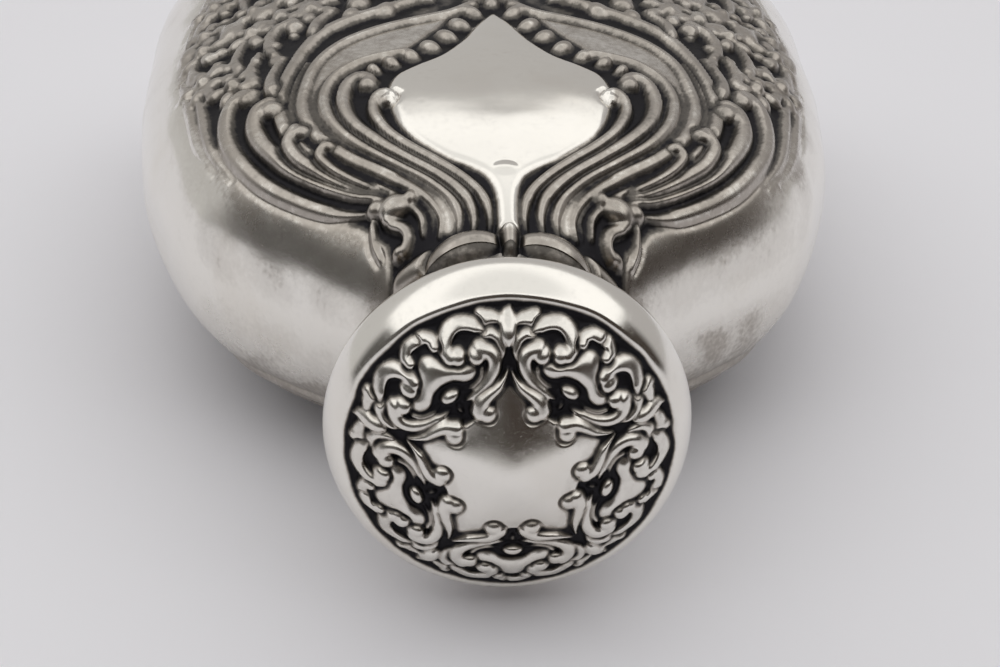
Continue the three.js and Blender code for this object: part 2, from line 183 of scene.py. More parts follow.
def blur(h, cells):
    """Three box blurs, close to a Gaussian."""
    r = max(1, int(round(cells)))
    for _ in range(3):
        for ax in (0, 1):
            pad = [(0, 0), (0, 0)]
            pad[ax] = (r + 1, r)
            c = np.cumsum(np.pad(h, pad, mode="edge"), axis=ax)
            n = h.shape[ax]
            a = np.take(c, np.arange(2 * r + 1, 2 * r + 1 + n), axis=ax)
            b = np.take(c, np.arange(0, n), axis=ax)
            h = (a - b) / (2 * r + 1)
    return h


# ---------------------------------------------------------------- meshes
def make(name, grids, body, nodes, material):
    """One object out of grids of points. A grid is (points in mm, patina, closed round, flipped)."""
    co, pat, quads, base = [], [], [], 0
    for P, a, closed, flip in grids:
        m, n = P.shape[:2]
        co.append(place(P).reshape(-1, 3))
        pat.append(np.broadcast_to(a, (m, n)).reshape(-1))
        idx = base + np.arange(m * n).reshape(m, n)
        if closed:
            idx = np.concatenate([idx, idx[:, :1]], 1)
        q = np.stack([idx[:-1, :-1], idx[:-1, 1:], idx[1:, 1:], idx[1:, :-1]], -1).reshape(-1, 4)
        quads.append(q[:, ::-1] if flip else q)
        base += m * n
    co, pat, quads = np.vstack(co), np.concatenate(pat), np.vstack(quads)
    me = bpy.data.meshes.new(name)
    me.vertices.add(len(co))
    me.vertices.foreach_set("co", co.astype(np.float32).ravel())
    me.loops.add(quads.size)
    me.loops.foreach_set("vertex_index", quads.astype(np.int32).ravel())
    me.polygons.add(len(quads))
    me.polygons.foreach_set("loop_start", (4 * np.arange(len(quads))).astype(np.int32))
    me.polygons.foreach_set("loop_total", np.full(len(quads), 4, np.int32))
    me.update(calc_edges=True)
    me.polygons.foreach_set("use_smooth", np.ones(len(quads), bool))
    at = me.attributes.new("patina", "FLOAT", "POINT")
    at.data.foreach_set("value", np.clip(pat, 0, 1).astype(np.float32))
    me.validate()
    me.materials.append(material)
    ob = bpy.data.objects.new(name, me)
    bpy.context.scene.collection.objects.link(ob)
    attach(ob, body)
    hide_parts(*nodes)
    return ob


def ring_profile(points, bevel=0.14):
    """A closed outline in (r, s) with its corners rounded and a support point beside each."""
    p = np.array(points, float)
    out = []
    n = len(p)
    for k in range(n):
        a, b, c = p[k - 1], p[k], p[(k + 1) % n]
        u, v = a - b, c - b
        lu, lv = np.hypot(*u), np.hypot(*v)
        u, v = u / lu, v / lv
        r = min(bevel, 0.3 * lu, 0.3 * lv)
        out.append(b + u * min(r * 1.35, 0.42 * lu))
        for t in (0, 0.25, 0.5, 0.75, 1):
            out.append((1 - t) ** 2 * (b + u * r) + 2 * t * (1 - t) * b + t * t * (b + v * r))
        out.append(b + v * min(r * 1.35, 0.42 * lv))
    out.append(out[0])
    return np.array(out)


def lathe(profile, turns=192, patina=0.0, wobble=0.0, seed=1):
    """Rings about the neck axis, from (r, s) points."""
    a = np.linspace(0, 2 * math.pi, turns, endpoint=False)
    r, s = profile[:, 0][:, None], profile[:, 1][:, None]
    if wobble:
        r = r + wobble * (noise2(np.cos(a)[None, :] * 6 + 9 + 0 * s, np.sin(a)[None, :] * 6 + 9 + s, 1.0, seed) - 0.5)
    P = np.stack([r * np.cos(a), s + 0 * r * a, r * np.sin(a)], -1)
    return (P, patina if np.ndim(patina) == 0 else patina[:, None] + 0 * a, True, False)


# ---------------------------------------------------------------- materials
def nodes_of(mat):
    mat.use_nodes = True
    nt = mat.node_tree
    nt.nodes.clear()
    return nt


def add(nt, kind, **inputs):
    n = nt.nodes.new(kind)
    for k, v in inputs.items():
        key = int(k[1:]) if k[0] == "_" and k[1:].isdigit() else k.replace("_", " ")
        if hasattr(v, "is_linked"):
            nt.links.new(v, n.inputs[key])
        else:
            n.inputs[key].default_value = v
    return n


def maths(nt, op, a, b=0.0, clamp=False):
    n = nt.nodes.new("ShaderNodeMath")
    n.operation = op
    n.use_clamp = clamp
    for k, v in enumerate((a, b)):
        if hasattr(v, "is_linked"):
            nt.links.new(v, n.inputs[k])
        else:
            n.inputs[k].default_value = v
    return n.outputs[0]


def ramp(nt, fac, stops):
    n = nt.nodes.new("ShaderNodeValToRGB")
    n.color_ramp.interpolation = "EASE"
    while len(n.color_ramp.elements) < len(stops):
        n.color_ramp.elements.new(0.5)
    for e, (pos, col) in zip(n.color_ramp.elements, stops):
        e.position = pos
        e.color = (*col, 1) if len(col) == 3 else col
    nt.links.new(fac, n.inputs[0])
    return n.outputs[0]


def noise(nt, vec, scale, detail=4.0, rough=0.55):
    n = add(nt, "ShaderNodeTexNoise", Scale=scale, Detail=detail, Roughness=rough)
    nt.links.new(vec, n.inputs["Vector"])
    return n.outputs["Fac"]


def mapped(nt, vec, turn, scale):
    n = nt.nodes.new("ShaderNodeMapping")
    n.inputs["Rotation"].default_value = turn
    n.inputs["Scale"].default_value = scale
    nt.links.new(vec, n.inputs["Vector"])
    return n.outputs[0]


def metal(name, clean, mid, dark, rough=0.12, wear=1.0, tint=(0.62, 0.55, 0.44), extra=0.0):
    """Worn metal. The patina attribute says where the dark oxide has stayed."""
    mat = bpy.data.materials.new(name)
    nt = nodes_of(mat)
    out = nt.nodes.new("ShaderNodeOutputMaterial")
    bsdf = nt.nodes.new("ShaderNodeBsdfPrincipled")
    nt.links.new(bsdf.outputs[0], out.inputs[0])
    vec = nt.nodes.new("ShaderNodeTexCoord").outputs["Object"]
    att = nt.nodes.new("ShaderNodeAttribute")
    att.attribute_type = "GEOMETRY"
    att.attribute_name = "patina"
    pat = att.outputs["Fac"]
    fine = noise(nt, vec, 1500, 5)
    broad = noise(nt, vec, 70, 4)
    smudge = noise(nt, vec, 260, 6, 0.65)
    p = maths(nt, "ADD", pat, maths(nt, "MULTIPLY", maths(nt, "SUBTRACT", fine, 0.5), 0.34))
    p = maths(nt, "ADD", p, maths(nt, "MULTIPLY", maths(nt, "SUBTRACT", smudge, 0.5), 0.16))
    p = maths(nt, "ADD", p, extra, True)
    base = ramp(nt, p, [(0.0, clean), (0.2, tuple(0.8 * c + 0.2 * m for c, m in zip(clean, mid))), (0.45, mid), (0.68, tuple(0.3 * c for c in mid)), (0.95, dark)])
    # faint warm tarnish in broad clouds
    cloud = ramp(nt, broad, [(0.45, (0, 0, 0)), (0.72, (1, 1, 1))])
    mix = nt.nodes.new("ShaderNodeMix")
    mix.data_type = "RGBA"
    mix.blend_type = "MULTIPLY"
    nt.links.new(maths(nt, "MULTIPLY", cloud, 0.16 * wear), mix.inputs["Factor"])
    nt.links.new(base, mix.inputs["A"])
    mix.inputs["B"].default_value = (*tint, 1)
    nt.links.new(mix.outputs["Result"], bsdf.inputs["Base Color"])
    bsdf.inputs["Metallic"].default_value = 1.0
    # roughness: polish, hazy handling marks, dull oxide
    r = maths(nt, "ADD", rough, maths(nt, "MULTIPLY", smudge, 0.11 * wear))
    r = maths(nt, "ADD", r, maths(nt, "MULTIPLY", p, 0.38), True)
    nt.links.new(r, bsdf.inputs["Roughness"])
    # hairline scratches in three directions, and small dings
    lines = None
    for turn, seed in (((0.3, 0.1, 0.5), 1), ((0.2, 1.3, 2.1), 2), ((1.1, 0.4, 1.2), 3)):
        v = mapped(nt, vec, turn, (4200, 90, 4200))
        f = noise(nt, v, 1.0, 2)
        f = ramp(nt, f, [(0.66, (0, 0, 0)), (0.70, (1, 1, 1))])
        lines = f if lines is None else maths(nt, "ADD", lines, f)
    vor = nt.nodes.new("ShaderNodeTexVoronoi")
    vor.inputs["Scale"].default_value = 190
    nt.links.new(vec, vor.inputs["Vector"])
    ding = ramp(nt, vor.outputs["Distance"], [(0.05, (1, 1, 1)), (0.16, (0, 0, 0))])
    height = maths(nt, "ADD", maths(nt, "MULTIPLY", lines, -0.10 * wear), maths(nt, "MULTIPLY", ding, -0.25 * wear))
    height = maths(nt, "ADD", height, maths(nt, "MULTIPLY", fine, maths(nt, "ADD", maths(nt, "MULTIPLY", p, 0.8), 0.03)))
    bump = add(nt, "ShaderNodeBump", Strength=0.55, Distance=0.00003)
    nt.links.new(height, bump.inputs["Height"])
    soft = add(nt, "ShaderNodeBump", Strength=0.5, Distance=0.00012)
    nt.links.new(noise(nt, vec, 85, 2), soft.inputs["Height"])
    nt.links.new(bump.outputs[0], soft.inputs["Normal"])
    nt.links.new(soft.outputs[0], bsdf.inputs["Normal"])
    return mat


SILVER = ((0.86, 0.835, 0.785), (0.44, 0.405, 0.365), (0.024, 0.023, 0.026))
GILT = ((0.83, 0.60, 0.27), (0.42, 0.26, 0.10), (0.05, 0.03, 0.015))
m_front = metal("worn_silver_front", *SILVER, rough=0.075)
m_back = metal("worn_silver_back", *SILVER, rough=0.14)
m_base = metal("worn_silver_base", *SILVER, rough=0.18, wear=1.8)
m_collar = metal("worn_silver_collar", *SILVER)
m_cap = metal("worn_silver_cap", *SILVER, rough=0.10)
m_plate = metal("worn_silver_cap_plate", *SILVER, rough=0.2, wear=1.4)
m_thread = metal("worn_silver_thread", *SILVER, rough=0.2, wear=1.6)
m_gilt = metal("worn_gilt_tube", *GILT, rough=0.2, tint=(0.8, 0.55, 0.3))
m_mouth = metal("worn_gilt_mouth", *GILT, rough=0.15, tint=(0.8, 0.55, 0.3))
m_capthread = metal("worn_gilt_cap_thread", *GILT, rough=0.22, tint=(0.8, 0.55, 0.3))
m_seal = metal("worn_gilt_seal", *GILT, rough=0.22, tint=(0.8, 0.55, 0.3))


def cork_material():
    mat = bpy.data.materials.new("cork_wafer")
    nt = nodes_of(mat)
    out = nt.nodes.new("ShaderNodeOutputMaterial")
    bsdf = nt.nodes.new("ShaderNodeBsdfPrincipled")
    nt.links.new(bsdf.outputs[0], out.inputs[0])
    vec = nt.nodes.new("ShaderNodeTexCoord").outputs["Object"]
    grain = noise(nt, vec, 900, 6, 0.7)
    broad = noise(nt, vec, 200, 3)
    col = ramp(nt, maths(nt, "ADD", maths(nt, "MULTIPLY", grain, 0.7), maths(nt, "MULTIPLY", broad, 0.3)), [(0.3, (0.13, 0.065, 0.03)), (0.5, (0.46, 0.28, 0.14)), (0.7, (0.62, 0.42, 0.23))])
    nt.links.new(col, bsdf.inputs["Base Color"])
    bsdf.inputs["Roughness"].default_value = 0.88
    vor = nt.nodes.new("ShaderNodeTexVoronoi")
    vor.inputs["Scale"].default_value = 1300
    nt.links.new(vec, vor.inputs["Vector"])
    bump = add(nt, "ShaderNodeBump", Strength=0.8, Distance=0.00012)
    nt.links.new(maths(nt, "ADD", vor.outputs["Distance"], grain), bump.inputs["Height"])
    nt.links.new(bump.outputs[0], bsdf.inputs["Normal"])
    return mat


m_cork = cork_material()


# ---------------------------------------------------------------- cap
CAP_TOP = -11.25
TURN = math.radians(1.8)
cap = Field(-19.2, 19.2, -19.2, 19.2, 0.05)
R = np.hypot(cap.X, cap.Y)
A = np.arctan2(cap.Y, cap.X)
phi = (A - math.pi / 2 - TURN) % (2 * math.pi / 5)
phi = np.where(phi > math.pi / 5, phi - 2 * math.pi / 5, phi)  # angle from the nearest vertex
side = math.pi / 5 - np.abs(phi)  # angle from the nearest side's middle
u_side, v_side = R * np.sin(side), R * np.cos(side)
edge = 7.25 + 1.65 * (np.abs(u_side) / 6.47) ** 1.7
inner = edge - v_side
reach_of = [R * np.cos(A - (math.pi / 2 + TURN + math.pi / 5 + i * 2 * math.pi / 5)) for i in range(5)]
facet = np.log(sum(np.exp(1.5 * d) for d in reach_of)) / 1.5  # five facets with worn creases
boss = (2.64 - 0.28 * facet) * smooth(-0.05, 0.42, inner) + 0.10 * np.exp(-((inner - 0.28) / 0.16) ** 2)
boss = boss + 0.09 * (noise2(cap.X + 40, cap.Y + 45, 4.2, 10) - 0.5) * smooth(0.3, 1.5, inner)
cap.h = np.where((inner > -0.05) & (R < 12), boss, 0.0)
ground_noise = 0.07 * (noise2(cap.X + 40, cap.Y + 40, 0.32, 5) - 0.5) + 0.05 * (noise2(cap.X + 40, cap.Y + 40, 0.9, 6) - 0.5)
cap.h += np.where((inner < 0) & (R < 17.2), ground_noise, 0)
panel_mask = np.zeros_like(cap.h)

wobble = np.random.default_rng(41)
for k in range(5):
    am = math.pi / 2 + TURN + math.pi / 5 + k * 2 * math.pi / 5
    ev = np.array([math.cos(am), math.sin(am)])
    eu = np.array([math.cos(am - math.pi / 2), math.sin(am - math.pi / 2)])
    for sign in (1, -1):
        jit = wobble.uniform(-0.1, 0.1, 2)

        def q(points):
            p = np.array(points, float)
            return (p[:, :1] * sign + jit[0]) * eu + (p[:, 1:] + jit[1]) * ev

        def b(x, y, r):
            c = (x * sign + jit[0]) * eu + (y + jit[1]) * ev
            return (c[0], c[1], r)

        # smooth panel in the middle of the lobe
        half = [(0, 14.9), (1.0, 14.6), (1.5, 13.8), (2.2, 13.0), (3.4, 12.4), (4.2, 11.6), (4.1, 10.7), (3.1, 10.15), (2.0, 10.4), (1.2, 11.1), (0, 11.35)]
        if sign == 1:
            full = spline(half, 0.3).tolist() + [(-x, y) for x, y in spline(half, 0.3)[::-1].tolist()]
            w, d = cap.inside([(x * eu + y * ev).tolist() for x, y in full])
            solid = smooth(-0.1, 0.25, d)
            pillow = solid * (0.10 + 0.80 * blur(np.pad(smooth(0.1, 0.9, d), 2, mode="edge"), 7)[2:-2, 2:-2] ** 0.8)
            cap.h[w] = np.maximum(cap.h[w], pillow)
            panel_mask[w] = np.maximum(panel_mask[w], smooth(0.25, 0.9, d))
        # ridge beside the vertex axis and the leaf that leans on it
        cap.stroke(q([(6.1, 9.9), (6.9, 10.8), (7.3, 11.7), (7.05, 12.6), (6.5, 13.1)]), 0.9, 1.4, 0.55, 0.85, 0.0, tail=0.3, moat=0.16)
        cap.stroke(q([(8.6, 11.9), (8.5, 12.7), (7.9, 13.5), (7.2, 14.0)]), 0.8, 1.5, 0.45, 0.9, 0.0, b(7.0, 14.15, 0.92), tail=0.3, moat=0.16)
        # large outer curl: a broad leaf that rolls in on itself
        big = [(6.5, 13.2), (5.7, 14.35), (4.5, 15.1), (3.25, 14.95), (2.35, 14.2), (2.3, 13.3)]
        cap.stroke(q(big), 1.4, 1.85, 0.75, 1.15, 0.0, b(2.95, 12.95, 1.05), tail=0.15, moat=0.2)
        # curl over the panel's outer end
        cap.stroke(q([(0, 15.95), (0.95, 15.85), (1.65, 15.3)]), 1.35, 1.3, 0.85, 0.9, 0.0, b(1.5, 14.85, 0.72), tail=0, moat=0.14)
        # lower C scroll
        cap.stroke(q([(0.95, 8.95), (2.2, 8.95), (3.6, 9.15), (4.95, 9.7), (5.75, 10.55), (5.85, 11.5), (5.3, 12.25)]), 0.95, 1.9, 0.6, 1.1, 0.0, b(4.6, 11.95, 1.05), tail=0.2, moat=0.18)
        cap.stroke(q([(1.3, 9.9), (2.4, 9.75), (3.6, 10.0), (4.3, 10.6)]), 0.45, 0.6, 0.4, 0.55, 0.0, tail=0.3, moat=0.08)
        # volute on the boss edge
        cap.stroke(q([(6.3, 9.0), (5.6, 8.65), (4.5, 8.3), (3.3, 8.2), (2.2, 7.95), (1.5, 7.3)]), 0.6, 2.15, 1.05, 1.35, 0.2, b(2.0, 6.8, 1.12), tail=0.35, moat=0.08, power=0.66)
    # pearl and its stalk
    c = 10.25 * ev
    cap.bump(c[0], c[1], 1.15, 0.72, 0.95, 0.0, turn=am - math.pi / 2)
    c = 8.6 * ev
    cap.bump(c[0], c[1], 0.3, 0.6, 0.4, 0.0, turn=am - math.pi / 2)
# buds on the vertex axes, over the lobes
for k in range(5):
    av = math.pi / 2 + TURN + k * 2 * math.pi / 5
    ev = np.array([math.cos(av), math.sin(av)])
    eu = np.array([math.cos(av - math.pi / 2), math.sin(av - math.pi / 2)])
    lean = -0.35 if k % 2 else 0.3
    cap.stroke([(13.3 * ev).tolist(), (14.0 * ev).tolist(), (15.0 * ev + lean * 0.2 * eu).tolist(), (15.7 * ev + lean * 0.4 * eu).tolist(), (16.5 * ev + lean * 0.8 * eu).tolist()], 1.5, 0.5, 0.95, 0.6, 0.0, tail=0.3, moat=0.25)
    cap.bump(*(14.9 * ev).tolist(), 1.0, 1.7, 1.2, 0.0, turn=av - math.pi / 2)

# the border stands at the crown's level, with an uneven inner edge
rim_edge = 16.95 + 0.35 * (noise2(cap.X * 0.9 + 50, cap.Y * 0.9 + 50, 2.6, 9) - 0.5)
cap.h = np.maximum(cap.h, 0.7 * smooth(-0.7, 0.75, R - rim_edge))
# hand-raised softness
cap.h = 0.3 * cap.h + 0.7 * blur(cap.h, 1.6)
cut = blur(cap.h, 7) - cap.h
boss_clear = smooth(1.0, 2.2, inner) * (R < 9)
field_zone = smooth(17.45, 16.95, R)
cap_pat = np.clip(smooth(0.5, 0.12, cap.h) * field_zone * 0.95 + 1.0 * smooth(0.01, 0.21, cut) * field_zone, 0, 1)
cap_pat = cap_pat * (1 - 0.85 * boss_clear * smooth(0.2, 0.0, cut))
cap_pat = np.clip(blur(cap_pat, 1.5) + 0.20 * field_zone * (1 - boss_clear), 0, 1)


def crown(r):
    return CAP_TOP + 2.9 * (r / 16) ** 2 + 1.75 * (r / 16) ** 8


border = np.array([(15.7, float(crown(15.7))), (16.2, -6.55), (16.75, -6.35), (17.3, -6.0), (17.8, -5.5), (18.25, -4.85), (18.62, -4.1), (18.92, -3.3), (19.15, -2.5), (19.28, -1.8), (19.3, -1.3), (19.22, -0.8), (19.0, -0.3), (18.7, 0.3), (18.4, 0.85), (18.1, 1.4)])
edge_line = spline(border, 0.16)
radii = np.concatenate([np.linspace(0.01, 5.2, 18, endpoint=False), np.linspace(5.2, 15.7, 98, endpoint=False)])
prof = np.vstack([np.stack([radii, crown(radii)], 1), edge_line[:: max(1, len(edge_line) // 30)], border[-1:]])
turns = 660
a = np.linspace(0, 2 * math.pi, turns, endpoint=False)
rr, ss = prof[:, 0][:, None] + 0 * a, prof[:, 1][:, None] + 0 * a
x, z = rr * np.cos(a), rr * np.sin(a)
h = (cap.at(x, z) - 0.7) * smooth(18.4, 17.6, rr)
# the crown is fair over the border too, with faint dents
dent = 0.05 * (noise2(x + 60, z + 60, 7.0, 8) - 0.5)
lip = smooth(16.8, 17.9, rr)
P = np.stack([x * (1 + dent * lip / 19), ss - h + dent, z * (1 + dent * lip / 19)], -1)
pat = cap.at(x, z, cap_pat) * smooth(18.0, 17.4, rr) + 0.55 * smooth(0.7, 1.4, ss)
inside_prof = spline([(18.1, 1.4), (17.6, 1.4), (17.95, -0.4), (17.75, -2.8), (17.0, -4.6), (15.2, -5.75), (12.6, -7.2), (9, -8.6), (4.5, -9.4), (0.01, -9.6)], 0.9)
make("chased_cap", [(P, pat, True, True), lathe(inside_prof, 120, 0.55)], "cap", ["cap_dome"], m_cap)

# ---------------------------------------------------------------- fittings inside the cap
make("cap_seam_ring", [lathe(ring_profile([(14.3, 1.4), (18.08, 1.4), (17.92, 1.75), (17.35, 2.3), (14.3, 2.3)], 0.14), 200, 0.22, 0.03, 12)], "cap", ["cap_back_plate"], m_plate)


def helix(radius, crest, width, start, turns_n, sign, inward):
    """A thread ridge: a rounded tooth wound right-handed round the axis."""
    n = int(120 * turns_n)
    t = np.linspace(0, 1, n)
    a = t * turns_n * 2 * math.pi
    fade = smooth(0, 0.07, t) * smooth(1, 0.93, t)
    q = np.linspace(-1, 1, 11)
    bulge = np.clip((1 - np.abs(q)) * 1.9, 0, 1) ** 0.8
    rr = radius + (crest - radius) * bulge[None, :] * fade[:, None]
    rr = rr + (0.04 if inward else -0.04) * (bulge[None, :] < 0.01)
    s = start - 2.5 * a[:, None] / (2 * math.pi) + q[None, :] * width / 2
    P = np.stack([rr * np.cos(a)[:, None], s, rr * np.sin(a)[:, None]], -1)
    return (P, 0.28 - 0.28 * bulge[None, :] + 0 * rr, False, inward)


make(
    "cap_screw_sleeve",
    [lathe(ring_profile([(12.6, -6.4), (13.9, -6.4), (13.9, 2.3), (15.4, 2.3), (15.4, 2.9), (12.6, 2.9)], 0.15), 168, 0.55, 0.02, 13), helix(12.6, 11.7, 1.6, 1.15, 1.9, 1, True)],
    "cap", ["cap_thread"], m_capthread,
)
make("seal_backing", [lathe(ring_profile([(0.02, -7.5), (11, -7.5), (11, -6.9), (0.02, -6.9)], 0.12), 144, 0.15, 0.02, 14)], "cap_seal", ["seal_plate"], m_seal)

# cork wafer, with pores and a pressed ring where the lip bites
r_c = np.concatenate([np.linspace(0.02, 10.9, 46), [11.0, 11.08, 11.13, 11.15, 11.15, 11.14, 11.1, 11.02, 10.9], np.linspace(10.9, 0.02, 10)[1:]])
s_c = np.concatenate([np.full(46, -4.3), [-4.33, -4.4, -4.55, -4.9, -5.5, -6.2, -6.6, -6.82, -6.9], np.full(9, -6.9)])
ac = np.linspace(0, 2 * math.pi, 168, endpoint=False)
rc, sc = r_c[:, None] + 0 * ac, s_c[:, None] + 0 * ac
xc, zc = rc * np.cos(ac), rc * np.sin(ac)
grain = noise2(xc + 30, zc + 30 + 3 * sc, 0.5, 21) + 0.6 * noise2(xc + 30, zc + 30 + 3 * sc, 1.3, 22)
pit = smooth(1.05, 1.3, grain) * 0.12
press = 0.06 * np.exp(-(((rc - 9.7) / 0.7) ** 2)) * (sc > -4.5)
face = (sc > -4.4) * 1.0
Pc = np.stack([xc * (1 - pit * (1 - face) / 11), sc - face * (pit + press), zc * (1 - pit * (1 - face) / 11)], -1)
make("cork_wafer", [(Pc, 0.0, True, False)], "cap_seal", ["cork_disc"], m_cork)

# ---------------------------------------------------------------- neck
lip_ring = np.array([(9.7 + 0.9 * math.cos(t), -3.82 - 0.48 * math.sin(t)) for t in np.linspace(0, 2 * math.pi, 33)])
lip_ring = np.clip(lip_ring, [8.8, -4.3], [10.6, -3.4])
make("rolled_lip", [lathe(lip_ring, 168, 0.08, 0.03, 15)], "flask", ["mouth_ring"], m_mouth)
make(
    "gilt_neck_tube",
    [lathe(ring_profile([(8.8, -3.4), (10.4, -3.4), (10.4, 7.6), (12.1, 7.6), (12.1, 8.5), (10.4, 8.5), (10.4, 15.6), (8.8, 15.6)], 0.12), 168, 0.15, 0.02, 16)],
    "flask", ["neck_tube"], m_gilt,
)
bead = [(10.7, -3.0), (11.3, -3.0), (11.3, 4.5)] + [(11.3 + 0.5 * math.sin(t), 5.2 - 0.6 * math.cos(t)) for t in np.linspace(0.1, math.pi - 0.1, 9)] + [(11.3, 5.9), (11.3, 7.6), (10.7, 7.6)]
make(
    "screw_neck",
    [lathe(ring_profile(bead, 0.1), 192, 0.2, 0.015, 17), helix(11.3, 12.1, 1.6, 2.4, 2.0, 1, False)],
    "flask", ["neck_thread"], m_thread,
)

# ---------------------------------------------------------------- body surface
HALF_W = [[13.5, 12.9], [20, 20.8], [27, 29.2], [35, 36.0], [45, 40.0], [58, 43.0], [74, 44.2], [92, 44.4], [106, 43.0], [114, 41.2], [119, 38.8], [121.75, 36.2]]
HALF_H = [[13.5, 12.9], [20, 15.4], [27, 17.6], [35, 19.6], [42, 20.8], [50, 21.4], [60, 21.5], [85, 21.4], [98, 20.6], [108, 18.6], [115, 16.0], [119, 13.8], [121.75, 11.8]]


def pchip(tab, q):
    t = np.array(tab, float)
    x, y = t[:, 0], t[:, 1]
    h, d = np.diff(x), np.diff(y) / np.diff(x)
    m = np.zeros(len(x))
    for i in range(1, len(x) - 1):
        if d[i - 1] * d[i] > 0:
            w1, w2 = 2 * h[i] + h[i - 1], h[i] + 2 * h[i - 1]
            m[i] = (w1 + w2) / (w1 / d[i - 1] + w2 / d[i])
    m[0] = max(0.0, ((2 * h[0] + h[1]) * d[0] - h[0] * d[1]) / (h[0] + h[1])) if d[0] > 0 else 0.0
    e = ((2 * h[-1] + h[-2]) * d[-1] - h[-1] * d[-2]) / (h[-1] + h[-2])
    m[-1] = e if e * d[-1] > 0 else 0.0
    i = np.clip(np.searchsorted(x, q) - 1, 0, len(h) - 1)
    t = (q - x[i]) / h[i]
    return (2 * t ** 3 - 3 * t ** 2 + 1) * y[i] + (t ** 3 - 2 * t ** 2 + t) * h[i] * m[i] + (-2 * t ** 3 + 3 * t ** 2) * y[i + 1] + (t ** 3 - t ** 2) * h[i] * m[i + 1]


def power_at(s):
    return 2 + 0.35 * smooth(13.5, 30, s)


# relief of the front, in (x from the ornament's middle line, s)
MID = 0.7
GROUND = -0.42
body = Field(-46, 46, 8, 122.5, 0.12)
BX, BY = body.X - MID, body.Y
ax_ = np.abs(BX)
limit_pts = np.array([(13.0, 12.0), (13.4, 18.0), (16, 21), (21, 24.5), (27, 30), (31, 36), (34.6, 44), (36.6, 52), (37.8, 62), (38.4, 75), (38.4, 85), (38.0, 95), (36.6, 104), (34, 111), (28, 115), (20, 117), (10, 118), (0, 118.4)])


def side_limit(s):
    # the far half mirrors the near one about s = 67
    near = np.interp(np.minimum(s, 134 - s), limit_pts[:, 1], limit_pts[:, 0])
    return np.minimum(near, np.interp(s, limit_pts[:, 1], limit_pts[:, 0]))


lim = side_limit(BY)
waver = 0.9 * (noise2(BX + 80, BY, 3.2, 31) - 0.5)
zone = smooth(0.35, -0.55, ax_ - lim - waver)
body.h = GROUND * zone + 0.09 * (noise2(BX + 80, BY + 3, 0.55, 32) - 0.5) * zone + 0.14 * (noise2(BX + 80, BY + 3, 2.4, 33) - 0.5) * zone
shield_half = [(0, 61.5), (2.0, 57.6), (4.0, 52.2), (6.6, 48.0), (9.7, 45.6), (12.0, 43.6), (12.85, 40.8), (12.75, 38), (12.0, 34.8), (10.9, 32.1), (9.3, 29.8), (6.6, 27.2), (4.2, 25.8), (2.4, 24.4), (1.5, 22.6), (1.15, 20.0), (1.1, 17.5), (1.3, 15.4), (0, 15.2)]
curve = spline(shield_half, 0.5)
full = [(x + MID, y) for x, y in curve] + [(-x + MID, y) for x, y in curve[::-1]]
shield = np.zeros_like(body.h)
dome = np.full_like(body.h, -9.0)
for outline in (full, [(x, 134 - y) for x, y in full][::-1]):
    w, d = body.inside(outline)
    shield[w] = np.maximum(shield[w], smooth(-0.15, 0.35, d))
    dome[w] = np.maximum(dome[w], np.where(d > -0.3, -0.1 + 0.5 * smooth(-0.3, 0.8, d) + 0.1 * smooth(0.5, 7, d), -9))
body.h = np.where(shield > 0, np.maximum(dome, body.h), body.h)

R1 = [(2.0, 15.5), (1.9, 18.5), (2.7, 21.5), (4.8, 24.3), (7.6, 27), (10.6, 29.8), (13.0, 32.8), (14.3, 36), (14.3, 38.4), (13.3, 39.6), (12.4, 38.8)]
R2 = [(3.9, 15.5), (3.7, 18.5), (4.6, 21.5), (7.2, 24.8), (10.6, 27.9), (14.0, 31.2), (16.8, 35), (18.0, 39), (17.6, 42.4), (16.2, 43.9), (15.0, 43.0)]
R3 = [(5.6, 15.8), (5.4, 18.5), (6.4, 21.5), (9.4, 25), (13.2, 28.3), (17.0, 32), (19.6, 36.5), (20.4, 41), (19.3, 45), (16.6, 47.6), (13.2, 48.6), (11.0, 48.9)]
R4 = [(7.6, 16.5), (7.4, 19), (9.2, 22.2), (13.2, 25.8), (17.8, 29.8), (21.3, 34.5), (23, 40), (22.6, 45.5), (21.2, 50.5), (18.4, 54.3), (14, 57.3), (9.5, 59.4), (5.5, 61.2), (2.5, 64)]
R5 = [(9.2, 17.5), (9.6, 20), (12.2, 23), (16.4, 26.6), (20.6, 30.6), (23.8, 35.2), (25.4, 40.5), (25.2, 46), (24.0, 51), (22.6, 55), (20.6, 58.6), (16.5, 61.8), (12, 64.5), (8, 67.5)]

# the broad satin band between the third and fourth ridges
band = np.zeros_like(body.h)
for sg in (1, -1):
    poly = [(x * sg + MID, y) for x, y in spline(R3, 0.6)] + [(x * sg + MID, y) for x, y in spline(R4, 0.6)[::-1]]
    for outline in (poly, [(x, 134 - y) for x, y in poly]):
        w, d = body.inside(outline)
        band[w] = np.maximum(band[w], smooth(0.0, 0.9, d))
body.h = np.where(band > 0, body.h * (1 - band) + band * (-0.02), body.h)

rng = np.random.default_rng(77)
G = GROUND - 0.1


def both(points, w0, w1, t0, t1, ball=None, tail=0.16, far=True, base=G, power=0.8, moat=0.2, crest=0.0, wide=1.0):
    for sg in (1, -1):
        j = rng.uniform(-0.12, 0.12, 2)
        ends = [(1, 0)] + ([(-1, 134)] if far else [])
        for fs, f0 in ends:
            pts = [((x * sg) + MID + j[0], f0 + fs * y + j[1]) for x, y in points]
            bl = (ball[0] * sg + MID + j[0], f0 + fs * ball[1] + j[1], ball[2]) if ball else None
            body.stroke(pts, w0 * wide, w1 * wide, t0, t1, base, bl, tail, power, moat, crest * sg * fs)


